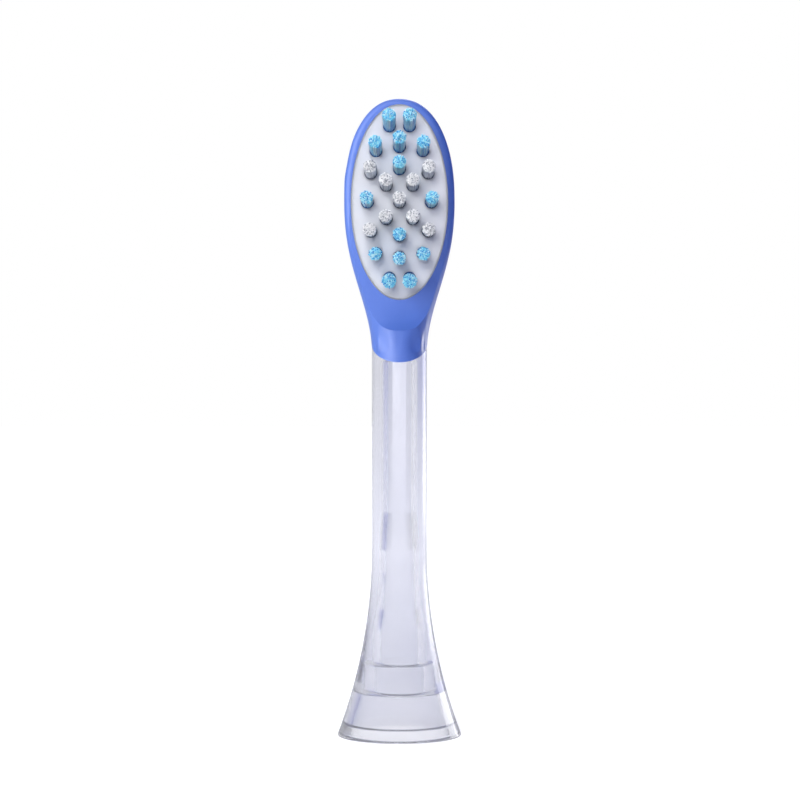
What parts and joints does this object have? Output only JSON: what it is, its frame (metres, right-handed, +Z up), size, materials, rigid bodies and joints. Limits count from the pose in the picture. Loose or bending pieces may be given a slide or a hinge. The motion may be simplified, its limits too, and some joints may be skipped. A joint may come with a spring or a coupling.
{
  "type": "electric toothbrush head",
  "caption": "Push-on electric toothbrush head: clear neck with a flared skirt and keyed drive socket, blue oval head shell, and a pale bristle plate with blue and white tufts.",
  "frame": {"origin": "centre of the skirt's mouth, in the plane of the rim that the part stands on", "axes": "+Z up the neck to the tip of the head, bristles towards -Y, +X to the right seen from the bristles"},
  "size_m": [0.0144, 0.0185, 0.075],
  "materials": {
    "clear_plastic": "polished clear copolyester with a faint lavender cast",
    "blue_shell": "satin blue moulded elastomer",
    "pale_plate": "fine satin moulded polypropylene",
    "blue_bristle": "sky blue nylon filament",
    "white_bristle": "white nylon filament"
  },
  "bodies": {
    "root": {"neck": "clear_plastic", "head_shell": "blue_shell", "bristle_plate": "pale_plate", "tuft_blue_01": "blue_bristle", "tuft_blue_02": "blue_bristle", "tuft_blue_03": "blue_bristle", "tuft_blue_04": "blue_bristle", "tuft_blue_05": "blue_bristle", "tuft_blue_06": "blue_bristle", "tuft_blue_07": "blue_bristle", "tuft_blue_08": "blue_bristle", "tuft_blue_09": "blue_bristle", "tuft_blue_10": "blue_bristle", "tuft_blue_11": "blue_bristle", "tuft_blue_12": "blue_bristle", "tuft_blue_13": "blue_bristle", "tuft_blue_14": "blue_bristle", "tuft_white_01": "white_bristle", "tuft_white_02": "white_bristle", "tuft_white_03": "white_bristle", "tuft_white_04": "white_bristle", "tuft_white_05": "white_bristle", "tuft_white_06": "white_bristle", "tuft_white_07": "white_bristle", "tuft_white_08": "white_bristle", "tuft_white_09": "white_bristle"}
  },
  "joints": []
}
